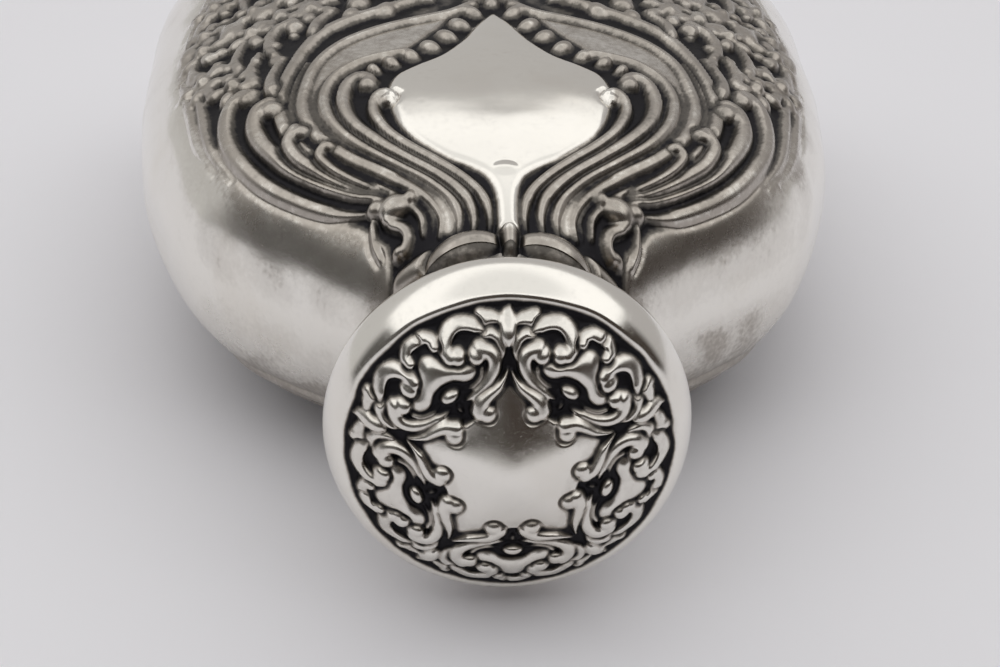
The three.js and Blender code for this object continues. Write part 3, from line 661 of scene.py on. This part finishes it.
def knob(x, y, rx, ry, top, turn=0.0, far=True, base=G):
    for sg in (1, -1):
        for fs, f0 in [(1, 0)] + ([(-1, 134)] if far else []):
            body.bump(x * sg + MID, f0 + fs * y, rx, ry, top, base, turn * sg * fs)


both(R5, 2.0, 2.4, 0.35, 0.6, crest=-1)
both([(8.4, 17.0), (8.3, 19.5), (10.6, 22.6), (14.8, 26.2), (19.2, 30.2), (22.5, 34.8), (24.2, 40.2), (23.9, 45.7), (22.6, 50.7)], 0.7, 0.9, 0.15, 0.3, tail=0.3)
both(R4, 1.7, 2.1, 0.35, 0.6, crest=1)
both(R3, 1.7, 2.2, 0.40, 0.7, tail=0.1)
both([(4.7, 15.6), (4.5, 18.5), (5.4, 21.5), (8.1, 25.0), (11.9, 28.4), (15.5, 32.0), (18.2, 36.8), (19.2, 41.0)], 0.6, 0.7, 0.15, 0.3, tail=0.3)
both(R2, 1.7, 2.3, 0.45, 0.9, (15.3, 42.2, 1.35), crest=-1)
both(R1, 1.45, 1.9, 0.40, 0.85, (12.9, 38.2, 1.15), crest=-1)
for x, y, rx, ry in [(14.6, 45.6, 0.8, 1.3), (12.6, 46.9, 0.95, 1.5), (10.3, 48.3, 1.05, 1.7), (7.9, 50.4, 1.2, 1.9), (5.9, 53.6, 1.2, 2.0), (4.2, 57.4, 1.2, 2.1), (2.6, 61.5, 1.1, 2.1)]:
    knob(x, y, rx, ry, 0.75, -0.6)
# the comb of side scrolls, from the outermost in
both([(14.0, 21.6), (18.5, 23.4), (23.2, 26.8), (27.4, 31.2), (30.4, 36.4), (31.8, 41.0), (31.8, 45.4), (30.4, 47.6), (29.0, 46.9)], 1.3, 2.7, 0.35, 0.8, (29.4, 46.4, 1.5), crest=1)
both([(12.5, 22.4), (16.5, 24.4), (20.6, 27.4), (24.4, 31.2), (27.2, 35.6), (28.5, 39.4), (28.2, 42.4), (26.9, 43.1)], 1.2, 2.9, 0.45, 1.0, (26.6, 41.6, 1.6), crest=1)
both([(13.2, 23.3), (17.2, 25.7), (20.6, 28.5), (23.2, 31.4), (24.4, 34.3), (23.6, 36.2)], 1.0, 2.3, 0.35, 0.9, (22.9, 35.3, 1.2), crest=1)
both([(13.8, 24.0), (16.9, 26.4), (19.3, 28.8), (20.6, 31.0), (20.0, 32.2)], 0.8, 1.7, 0.3, 0.75, (19.6, 31.8, 0.9))
# leaves and buds along the flank
both([(30.6, 33.5), (33.3, 39.5), (34.9, 46.5), (35.8, 53.5), (36.9, 60.5)], 1.2, 2.3, 0.2, 0.5, tail=0.3)
both([(33.0, 36.0), (35.6, 43.0), (37.0, 51.0), (38.2, 60.0)], 0.9, 1.8, 0.1, 0.35, tail=0.3)
both([(36.4, 57), (37.2, 61.5), (36.4, 66.5)], 2.2, 1.2, 0.6, 0.4, tail=0.2, crest=1)
both([(33.4, 49.8), (34.6, 54.2), (33.8, 59.2)], 2.3, 1.1, 0.7, 0.4, tail=0.2, crest=-1)
both([(30.6, 53.0), (31.6, 57.6), (30.6, 62.6)], 2.2, 1.1, 0.7, 0.4, tail=0.2, crest=1)
both([(28.4, 48.4), (29.4, 52.4), (28.4, 56.8)], 2.4, 1.1, 0.8, 0.4, tail=0.2, crest=-1)
both([(26.3, 44.6), (27.0, 48.2), (26.3, 52.2)], 2.6, 1.4, 0.8, 0.5, tail=0.2, crest=1)
both([(25.8, 53.2), (27.4, 57.4), (26.8, 61.6), (24.6, 63.2)], 1.4, 2.4, 0.4, 0.85, (24.4, 61.8, 1.5), crest=-1)
both([(22.0, 58.0), (21.6, 62.0), (19.4, 65.6)], 2.4, 1.4, 0.7, 0.5, tail=0.2)
for x, y, rx, ry, t in [(13.2, 63.6, 1.5, 2.2, 0.3), (28.4, 64.6, 2.3, 2.1, 0), (17.4, 62.8, 1.3, 2.0, 0.2), (22.6, 67.0, 2.0, 1.7, 0), (32.4, 66.4, 1.9, 2.2, 0.2), (16.6, 66.4, 1.6, 1.8, 0.4), (9.2, 66.8, 1.5, 1.7, 0), (37.8, 67, 1.5, 2.2, 0), (26.2, 67.4, 1.4, 1.3, 0)]:
    knob(x, y, rx, ry, 0.85, t)
flower_at = [(29.6, 63.4), (22.4, 66.4), (35.2, 55.4), (31.4, 50.8), (35.8, 64.8)]
for fx_, fy_ in flower_at:
    for k in range(5):
        t = 2 * math.pi * k / 5 + fx_
        knob(fx_ + 1.95 * math.cos(t), fy_ + 2.4 * math.sin(t), 1.7, 1.15, 0.7, t)
    knob(fx_, fy_, 1.15, 1.35, 1.15)
for _ in range(26):
    kx, ky = rng.uniform(23, 39.5), rng.uniform(45, 67)
    if kx < side_limit(ky) - 0.5:
        knob(kx, ky, rng.uniform(0.6, 1.2), rng.uniform(0.9, 1.8), rng.uniform(0.1, 0.55), rng.uniform(-0.6, 0.9))
# the leafy knot that ties the scrolls, and its falling leaves
both([(14.6, 20.6), (14.5, 18.8), (13.8, 17.2)], 1.1, 0.7, 0.45, 0.3, tail=0)
both([(13.2, 20.4), (12.3, 19.6), (11.3, 18.8), (10.8, 17.6), (11.2, 16.5)], 1.5, 1.2, 0.8, 0.7, (11.9, 16.8, 0.85), tail=0, crest=1)
knob(12.4, 21.5, 1.95, 1.6, 1.2)
knob(14.4, 22.0, 1.1, 1.0, 0.95)
knob(10.6, 22.1, 0.9, 1.0, 0.85)
# small flower where the two halves of the design meet
for k in range(6):
    t = 2 * math.pi * k / 6 + 0.5
    body.bump(MID + 2.3 * math.cos(t), 67 + 2.3 * math.sin(t), 1.8, 1.15, 0.7, G, t)
body.bump(MID, 67, 1.2, 1.2, 1.05, G)

# petals of the neck, two broad ones and the wedge between them, all round in front
for sg in (1, -1):
    body.stroke([(MID + 8.9 * sg, 14.4), (MID + 11.8 * sg, 14.6)], 2.6, 1.8, 0.9, 0.6, -0.4, None, 0, 0.6, 0.3)
    body.stroke([(MID + 2.6 * sg, 13.9), (MID + 7.0 * sg, 13.9)], 3.6, 3.4, -0.3, -0.3, -0.4, None, 0, 0.6, 0.6)
    body.bump(MID + 4.75 * sg, 13.9, 4.45, 2.3, 2.0, -0.4, -0.05 * sg, 0.62)
body.stroke([(MID, 12.6), (MID, 15.4)], 1.7, 2.3, 1.5, 1.9, -0.4, None, 0, 0.6, 0.25)
body.bump(MID, 25.0, 1.7, 1.2, 0.62, 0.2)

sharp = body.h.copy()
body.h = 0.25 * body.h + 0.75 * blur(body.h, 1.4)
keep = shield * smooth(0.0, 0.5, dome + 1)
hollow = blur(body.h, 5) - body.h
mott = noise2(BX + 80, BY, 2.3, 71) * 0.6 + noise2(BX + 80, BY, 0.9, 72) * 0.4
wide = blur(body.h, 12) - body.h
crowded = smooth(0.05, 0.30, wide)
body_pat = (0.16 + 0.56 * crowded) * smooth(0.34, -0.42, body.h) * zone * (1 - shield) * (1 - 0.75 * band) + 0.55 * smooth(0.04, 0.30, hollow) * zone
body_pat += zone * (1 - shield) * (0.43 + 0.24 * (mott - 0.5)) * (1 - 0.30 * band)
body_pat = np.clip(body_pat - 0.9 * shield * smooth(0.15, 0.02, hollow), 0, 1)
# oxide left on the plain metal just outside the ornament, broadest near the neck
body_pat = np.clip(blur(body_pat, 1.0), 0, 1)
plain = 1 - zone


def half_shell(s_rows, cols, front, relief_gain):
    """Points of one half of the body, displaced along the surface normal by the relief."""
    s = np.asarray(s_rows)
    w, hh, n = pchip(HALF_W, s), pchip(HALF_H, s), power_at(s)
    # columns even along the section, closer inside the ornament
    fx = np.linspace(-1, 1, cols)
    fx = np.sign(fx) * np.abs(fx)
    th = np.linspace(0, math.pi, 721)
    X = np.empty((len(s), cols))
    Z = np.empty_like(X)
    for i in range(len(s)):
        cx = np.sign(np.cos(th)) * np.abs(np.cos(th)) ** (2 / n[i]) * w[i]
        cz = np.abs(np.sin(th)) ** (2 / n[i]) * hh[i]
        step = np.hypot(np.diff(cx), np.diff(cz))
        weight = np.where(np.abs((cx[1:] + cx[:-1]) / 2) < 0.93 * w[i], 1.0, 0.34)
        L = np.concatenate([[0], np.cumsum(step * weight)])
        t = np.interp(np.linspace(0, L[-1], cols), L, np.arange(len(L)))
        X[i], Z[i] = np.interp(t, np.arange(len(cx)), cx), np.interp(t, np.arange(len(cz)), cz)
    X, Z = X[:, ::-1], Z[:, ::-1]
    S = s[:, None] + 0 * X
    P = np.stack([X, S, Z if front else -Z], -1)
    du, dv = np.gradient(P, axis=1), np.gradient(P, axis=0)
    N = np.cross(du, dv)
    if front:
        N = -N
    N = np.where((N[..., 2:] * (1 if front else -1)) < -1e-9, -N, N)
    N /= np.maximum(np.linalg.norm(N, axis=-1, keepdims=True), 1e-9)
    fade = smooth(0.0, 3.5, Z)
    # length round the section from the front's middle, so that dents keep their shape on the steep flanks
    U = np.concatenate([np.zeros((len(s), 1)), np.cumsum(np.hypot(np.diff(X, axis=1), np.diff(Z, axis=1)), axis=1)], 1)
    U = U - U[:, cols // 2 : cols // 2 + 1]
    D = body.at(X if front else 2 * MID * 0 + X, S) * relief_gain * fade
    # faint dents and waves of old sheet
    out_of = smooth(-1.0, 2.0, np.abs(X - MID) - side_limit(S))
    shift = 0 if front else 55
    wave = 0.22 * (noise2(U + 90, S + shift, 10.0, 51) - 0.5) + (0.03 + 0.075 * out_of) * (noise2(U + 90, S + shift, 4.2, 52) - 0.5)
    D = D + wave * smooth(13.5, 18, S) * smooth(121.7, 117, S) * fade
    mott_u = 0.86 * noise2(U + 90, S + shift, 4.6, 53) + 0.13 * noise2(U + 90, S + shift, 1.7, 54) + 0.01 * noise2(U + 90, S + shift, 0.5, 55)
    reach = np.interp(S, [13, 20, 30, 36, 45, 120], [3.0, 8.0, 8.5, 5.5, 3.0, 2.0])
    halo = smooth(1.1, 0.15, (np.abs(X - MID) - side_limit(S)) / reach + 0.8 * (mott_u - 0.5)) * body.at(X, S, plain)
    A = (body.at(X, S, body_pat) + 0.40 * halo + 0.10 * smooth(0.60, 0.85, mott_u) * out_of) * fade
    Q = P + N * D[..., None]
    if not front:
        Q[..., 2] = np.maximum(Q[..., 2], -AX)
    inner = P - N * 0.9
    if not front:
        inner[..., 2] = np.maximum(inner[..., 2], -AX + 0.9)
    return Q, A, inner


def sheet(Q, A, inner, front):
    """Outer skin, inner skin and the four edges of a sheet half."""
    i = np.unique(np.concatenate([np.arange(0, Q.shape[0], 6), [Q.shape[0] - 1]]))
    j = np.unique(np.concatenate([np.arange(0, Q.shape[1], 6), [Q.shape[1] - 1]]))
    grids = [(Q, A, False, not front), (inner[np.ix_(i, j)], 0.5, False, front)]
    for k, flip in ((0, True), (-1, False)):
        e = np.stack([Q[k], inner[k]], 0)
        grids.append((e, 0.4, False, flip != (not front)))
        e = np.stack([Q[:, k], inner[:, k]], 1)
        grids.append((e, 0.4, False, flip != (not front)))
    return grids


rows_f = np.concatenate([np.linspace(13.5, 30, 84, endpoint=False), np.linspace(30, 64, 138, endpoint=False), np.linspace(64, 121.75, 96)])
Q, A_, inn = half_shell(rows_f, 290, True, 1.0)
make("chased_front", sheet(Q, A_, inn, True), "flask", ["front_shell"], m_front)
rows_b = np.concatenate([np.linspace(13.5, 64, 130, endpoint=False), np.linspace(64, 121.75, 100)])
Qb, Ab, innb = half_shell(rows_b, 210, False, 0.8)
make("chased_back", sheet(Qb, Ab, innb, False), "flask", ["back_shell"], m_back)

# collar: carries the near ends of the petals
ca = np.linspace(0, 2 * math.pi, 360, endpoint=False)
cs = np.concatenate([[8.5, 8.55, 8.7], np.linspace(8.95, 13.5, 24)])
cr = np.concatenate([[12.55, 12.75, 12.86], np.full(24, 12.9)]) - 0.05 * np.exp(-((cs - 10.2) / 0.25) ** 2)
crr, css = cr[:, None] + 0 * ca, cs[:, None] + 0 * ca
cx, cz = crr * np.cos(ca), crr * np.sin(ca)
lift = body.at(cx, css) * smooth(1.0, 5.0, np.abs(cz)) * smooth(10.4, 11.2, css)
lift = np.clip(lift, -0.2, 2.0)
Pk = np.stack([(crr + lift) * np.cos(ca), css, (crr + lift) * np.sin(ca)], -1)
pk = np.clip(body.at(cx, css, body_pat) * smooth(10.5, 13, css) + 0.25, 0, 1)
inner_ring = np.array([(12.9, 13.5), (10.8, 13.5), (10.8, 8.5), (12.55, 8.5)])
make("neck_ring", [(Pk, pk, True, True), lathe(ring_profile(inner_ring, 0.1), 120, 0.3)], "flask", ["neck_collar"], m_collar)

# base plate: an oval with a soft edge and a shallow dished face
base_lo, base_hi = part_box("base_plate")
bw, bh = (base_hi[0] - base_lo[0]) / 2 / MM, (base_hi[2] - base_lo[2]) / 2 / MM
b0, b1 = base_lo[1] / MM - RIM, base_hi[1] / MM - RIM
ba = np.linspace(0, 2 * math.pi, 300, endpoint=False)
bn = 2.35
ux = np.sign(np.cos(ba)) * np.abs(np.cos(ba)) ** (2 / bn)
uz = np.sign(np.sin(ba)) * np.abs(np.sin(ba)) ** (2 / bn)
fr = [(1.0, b0, 0.35), (1.0, b0 + 0.3, 0.3), (0.998, b0 + 0.55, 0.25), (0.992, b0 + 0.8, 0.2), (0.983, b0 + 0.93, 0.15), (0.97, b1, 0.1), (0.945, b1, 0.1), (0.925, b1 - 0.06, 0.25), (0.905, b1 - 0.22, 0.3)]
fr += [(f, b1 - 0.26, 0.16) for f in np.linspace(0.88, 0.002, 34)]
Pb = np.stack([np.stack([bw * f * ux, s + 0 * ux + 0.05 * (noise2(bw * f * ux + 70, bh * f * uz + 70, 6, 61) - 0.6), bh * f * uz], -1) for f, s, _ in fr])
Pb[..., 1] = np.clip(Pb[..., 1], b0, b1)
pb = np.array([p for _, _, p in fr])[:, None] + 0 * ba
under = np.stack([np.stack([bw * f * ux, b0 + 0 * ux, bh * f * uz], -1) for f in (1.0, 0.6, 0.002)])
make("base_oval", [(Pb, pb, True, False), (under, 0.5, True, True)], "flask", ["base_plate"], m_base)

# ---------------------------------------------------------------- stage: floor, world, camera
floor_mat_painted_shade = bpy.data.materials.new("pale_floor_painted_front_shade")
nt = nodes_of(floor_mat_painted_shade)
out = nt.nodes.new("ShaderNodeOutputMaterial")
bs = nt.nodes.new("ShaderNodeBsdfPrincipled")
nt.links.new(bs.outputs[0], out.inputs[0])
pos = nt.nodes.new("ShaderNodeTexCoord").outputs["Object"]
sep = nt.nodes.new("ShaderNodeSeparateXYZ")
nt.links.new(pos, sep.inputs[0])
# painted shade: the floor's colour goes from pale to grey towards the camera side, below y = -0.108 m. It stands in for
# light falling off in front and gives the silver a darker floor to reflect
floor_front_shade_ramp = add(nt, "ShaderNodeMapRange", From_Min=-0.50, From_Max=-0.108, To_Min=0.0, To_Max=1.0)
floor_front_shade_ramp.interpolation_type = "SMOOTHSTEP"
nt.links.new(sep.outputs["Y"], floor_front_shade_ramp.inputs["Value"])
col = ramp(nt, floor_front_shade_ramp.outputs[0], [(0.0, (0.60, 0.595, 0.605)), (1.0, (0.89, 0.885, 0.925))])
nt.links.new(col, bs.inputs["Base Color"])
bs.inputs["Roughness"].default_value = 0.75
# painted light: the floor glows faintly in its own colour, with the painted front shade included
nt.links.new(col, bs.inputs["Emission Color"])
bs.inputs["Emission Strength"].default_value = 0.015
bs.inputs["Specular IOR Level"].default_value = 0.2
me = bpy.data.meshes.new("floor")
me.from_pydata([(-3, -3, 0), (3, -3, 0), (3, 3, 0), (-3, 3, 0)], [], [(0, 1, 2, 3)])
me.materials.append(floor_mat_painted_shade)
floor = bpy.data.objects.new("floor", me)
floor.location = (0, 0, -0.00005)
bpy.context.scene.collection.objects.link(floor)

world = bpy.data.worlds.new("soft_studio")
bpy.context.scene.world = world
world.use_nodes = True
wt = world.node_tree
wt.nodes.clear()
wout = wt.nodes.new("ShaderNodeOutputWorld")
bg = wt.nodes.new("ShaderNodeBackground")
wt.links.new(bg.outputs[0], wout.inputs[0])
gen = wt.nodes.new("ShaderNodeTexCoord").outputs["Generated"]
ws = wt.nodes.new("ShaderNodeSeparateXYZ")
wt.links.new(gen, ws.inputs[0])


def between(v, a, b_):
    n = wt.nodes.new("ShaderNodeMapRange")
    n.interpolation_type = "SMOOTHSTEP"
    n.inputs["From Min"].default_value, n.inputs["From Max"].default_value = a, b_
    wt.links.new(v, n.inputs["Value"])
    return n.outputs[0]


def blend_colour(fac, a, b_):
    n = wt.nodes.new("ShaderNodeMix")
    n.data_type = "RGBA"
    wt.links.new(fac, n.inputs["Factor"])
    for key, v in (("A", a), ("B", b_)):
        if hasattr(v, "is_linked"):
            wt.links.new(v, n.inputs[key])
        else:
            n.inputs[key].default_value = (*v, 1)
    return n.outputs["Result"]


front_col = blend_colour(between(ws.outputs["X"], 0.25, -0.85), (0.050, 0.040, 0.034), (0.10, 0.095, 0.09))
far_col = blend_colour(between(ws.outputs["X"], -0.9, 0.9), (0.55, 0.54, 0.53), (0.45, 0.435, 0.43))
low = blend_colour(between(ws.outputs["Y"], -0.05, 0.32), front_col, far_col)
panel = blend_colour(between(ws.outputs["Z"], 0.80, 0.93), (1.16, 1.15, 1.13), (0.90, 0.895, 0.88))
def wmath(op, a, b_=0.0):
    n = wt.nodes.new("ShaderNodeMath")
    n.operation = op
    for k, v in enumerate((a, b_)):
        if hasattr(v, "is_linked"):
            wt.links.new(v, n.inputs[k])
        else:
            n.inputs[k].default_value = v
    return n.outputs[0]


# the soft box overhead is a rectangle, longer from side to side
over = wmath("MAXIMUM", ws.outputs["Z"], 0.001)
ty = wmath("DIVIDE", wmath("ABSOLUTE", ws.outputs["Y"]), over)
tx = wmath("DIVIDE", wmath("ABSOLUTE", ws.outputs["X"]), over)
box = wmath("MULTIPLY", between(ty, 0.93, 0.89), between(tx, 1.9, 1.6))
sky = blend_colour(box, low, panel)
wt.links.new(sky, bg.inputs["Color"])
bg.inputs["Strength"].default_value = 1.0

cam_data = bpy.data.cameras.new("camera")
cam = bpy.data.objects.new("camera", cam_data)
bpy.context.scene.collection.objects.link(cam)
cam_data.sensor_fit = "HORIZONTAL"
cam_data.sensor_width = 36.0
cam_data.lens = 87.1
cam_data.clip_start, cam_data.clip_end = 0.01, 20
right, up, fwd = Vector((0.99894976, -0.04326868, 0.01507341)), Vector((0.0075515, 0.47995229, 0.87726209)), Vector((0.04519249, 0.87622693, -0.47977496))
rot = Matrix((right, up, -fwd)).transposed()
cam.matrix_world = Matrix.Translation((-0.012152, -0.274247, 0.150779)) @ rot.to_4x4()
bpy.context.scene.camera = cam
bpy.context.scene.view_settings.view_transform = "Standard"
